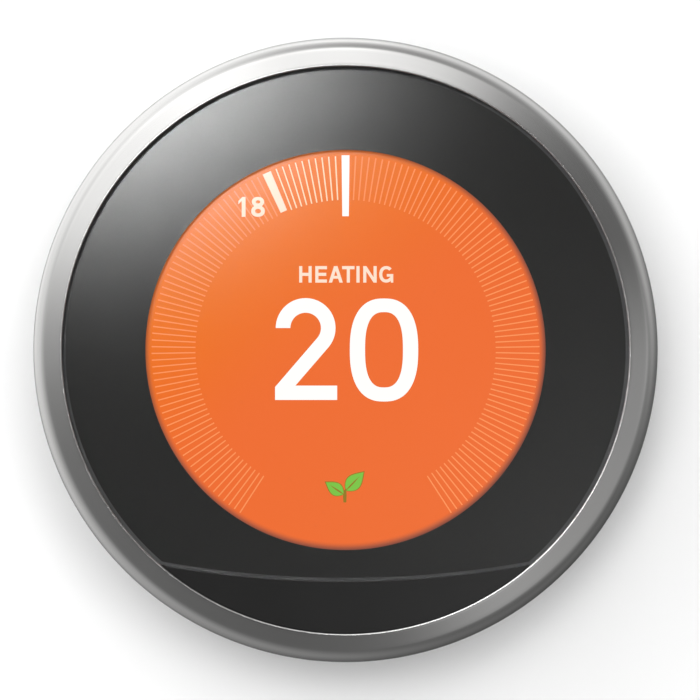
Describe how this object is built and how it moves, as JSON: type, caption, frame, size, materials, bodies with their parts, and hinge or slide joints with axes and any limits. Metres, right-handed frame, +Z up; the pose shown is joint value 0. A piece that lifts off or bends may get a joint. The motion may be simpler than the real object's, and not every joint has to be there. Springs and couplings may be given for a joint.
{
  "type": "wall thermostat",
  "caption": "Round wall thermostat: a steel dial ring turns round a glass face with a lit display, on a screwed wall base with push-in wire terminals.",
  "frame": {"origin": "centre of the base's wall face, on the axis of the ring, midway between the two wall-screw holes", "axes": "+Y along the ring's axis into the wall, +Z up, +X to the right when seen from the front; the display faces -Y"},
  "size_m": [0.084, 0.0308, 0.084],
  "materials": {
    "base_plastic": "fine matt moulded polycarbonate, warm white",
    "board_green": "green solder mask over glass-epoxy board",
    "chip_black": "moulded epoxy packages",
    "screw_steel": "zinc-plated steel",
    "spring_steel": "rolled stainless spring strip",
    "terminal_plastic": "dark grey glass-filled nylon",
    "tab_plastic": "satin white nylon",
    "vial_clear": "clear acrylic tube",
    "level_spirit": "yellow-green level spirit",
    "black_plastic": "black moulded plastic, light texture",
    "gilt_contact": "gold-flashed copper alloy",
    "housing_black": "black moulded polycarbonate, spark texture",
    "plated_shell": "nickel-plated drawn steel",
    "cell_wrap": "aluminised pouch of the battery cell",
    "lead_insulation": "red wire insulation and plug",
    "speaker_brass": "brass piezo disc in its cup",
    "sensor_black": "black infrared-passing plastic",
    "flex_amber": "amber polyimide flat cable",
    "backlight_steel": "pressed stainless tray",
    "guide_acrylic": "milky light guide and its films",
    "display_cell": "lit colour display behind the lens, showing an orange field",
    "display_marks": "white figures and marks on the lit display",
    "display_ticks": "fine pale orange scale on the lit display",
    "display_icon": "green sprout sign on the lit display",
    "face_mask": "black ink printed behind the lens",
    "face_lens": "clear hard-coated lens",
    "sensor_lens": "glossy black plastic that lets heat rays through",
    "glide_acetal": "natural acetal",
    "ring_steel": "satin stainless steel, fine circular brushing",
    "band_film": "etched metal strip with fine slots"
  },
  "bodies": {
    "wall_base": {"wall_plate": "base_plastic", "base_board": "board_green", "base_board_parts": "chip_black", "base_cover": "base_plastic", "base_screws": "screw_steel", "snap_springs": "spring_steel", "terminal_block_right": "terminal_plastic", "terminal_block_left": "terminal_plastic", "clamp_springs_right": "spring_steel", "clamp_springs_left": "spring_steel", "level_vial": "vial_clear", "level_fluid": "level_spirit", "level_cradle": "black_plastic", "base_socket": "black_plastic", "socket_contacts": "gilt_contact"},
    "rear_housing": {"rear_cover": "housing_black", "link_board": "board_green", "display_plug": "black_plastic", "plug_contacts": "gilt_contact", "usb_shell": "plated_shell", "usb_tongue": "black_plastic", "climate_sensor": "board_green", "switch_plunger": "black_plastic", "head_springs": "spring_steel"},
    "head": {"chassis": "black_plastic", "shoulder_screws": "screw_steel", "main_board": "board_green", "board_screws": "screw_steel", "main_board_chips": "chip_black", "shield_cans": "plated_shell", "battery_cell": "cell_wrap", "battery_lead": "lead_insulation", "click_switch": "black_plastic", "speaker": "speaker_brass", "ring_reader": "sensor_black", "link_flex": "flex_amber", "backlight_frame": "backlight_steel", "light_guide": "guide_acrylic", "display_panel": "display_cell", "display_flex": "flex_amber", "motion_sensors": "plated_shell", "motion_lens": "black_plastic", "face_lens": "face_lens", "sensor_window": "sensor_lens", "glide_ring_rear": "glide_acetal", "glide_ring_front": "glide_acetal"},
    "ring": {"outer_ring": "ring_steel", "ring_carrier": "glide_acetal", "pattern_band": "band_film"},
    "tab_01": {"release_tab_01": "tab_plastic"},
    "tab_02": {"release_tab_02": "tab_plastic"},
    "tab_03": {"release_tab_03": "tab_plastic"},
    "tab_04": {"release_tab_04": "tab_plastic"},
    "tab_05": {"release_tab_05": "tab_plastic"},
    "tab_06": {"release_tab_06": "tab_plastic"},
    "tab_07": {"release_tab_07": "tab_plastic"},
    "tab_08": {"release_tab_08": "tab_plastic"},
    "tab_09": {"release_tab_09": "tab_plastic"},
    "tab_10": {"release_tab_10": "tab_plastic"}
  },
  "joints": [
    {"name": "display_release", "type": "slide", "parent": "wall_base", "child": "rear_housing", "axis": [0, -1, 0], "range_m": [0, 0.04]},
    {"name": "head_press", "type": "slide", "parent": "rear_housing", "child": "head", "axis": [0, 1, 0], "range_m": [0, 0.0006], "stiffness_N_per_m": 4000, "springref_m": -0.0005, "deforming": ["head_springs", "link_flex"]},
    {"name": "ring_turn", "type": "hinge", "parent": "head", "child": "ring", "pos_m": [0, 0, 0], "axis": [0, 1, 0], "continuous": true},
    {"name": "tab_press_01", "type": "slide", "parent": "wall_base", "child": "tab_01", "axis": [0, 1, 0], "range_m": [0, 0.0012], "stiffness_N_per_m": 900, "springref_m": -0.0008},
    {"name": "tab_press_02", "type": "slide", "parent": "wall_base", "child": "tab_02", "axis": [0, 1, 0], "range_m": [0, 0.0012], "stiffness_N_per_m": 900, "springref_m": -0.0008},
    {"name": "tab_press_03", "type": "slide", "parent": "wall_base", "child": "tab_03", "axis": [0, 1, 0], "range_m": [0, 0.0012], "stiffness_N_per_m": 900, "springref_m": -0.0008},
    {"name": "tab_press_04", "type": "slide", "parent": "wall_base", "child": "tab_04", "axis": [0, 1, 0], "range_m": [0, 0.0012], "stiffness_N_per_m": 900, "springref_m": -0.0008},
    {"name": "tab_press_05", "type": "slide", "parent": "wall_base", "child": "tab_05", "axis": [0, 1, 0], "range_m": [0, 0.0012], "stiffness_N_per_m": 900, "springref_m": -0.0008},
    {"name": "tab_press_06", "type": "slide", "parent": "wall_base", "child": "tab_06", "axis": [0, 1, 0], "range_m": [0, 0.0012], "stiffness_N_per_m": 900, "springref_m": -0.0008},
    {"name": "tab_press_07", "type": "slide", "parent": "wall_base", "child": "tab_07", "axis": [0, 1, 0], "range_m": [0, 0.0012], "stiffness_N_per_m": 900, "springref_m": -0.0008},
    {"name": "tab_press_08", "type": "slide", "parent": "wall_base", "child": "tab_08", "axis": [0, 1, 0], "range_m": [0, 0.0012], "stiffness_N_per_m": 900, "springref_m": -0.0008},
    {"name": "tab_press_09", "type": "slide", "parent": "wall_base", "child": "tab_09", "axis": [0, 1, 0], "range_m": [0, 0.0012], "stiffness_N_per_m": 900, "springref_m": -0.0008},
    {"name": "tab_press_10", "type": "slide", "parent": "wall_base", "child": "tab_10", "axis": [0, 1, 0], "range_m": [0, 0.0012], "stiffness_N_per_m": 900, "springref_m": -0.0008}
  ]
}
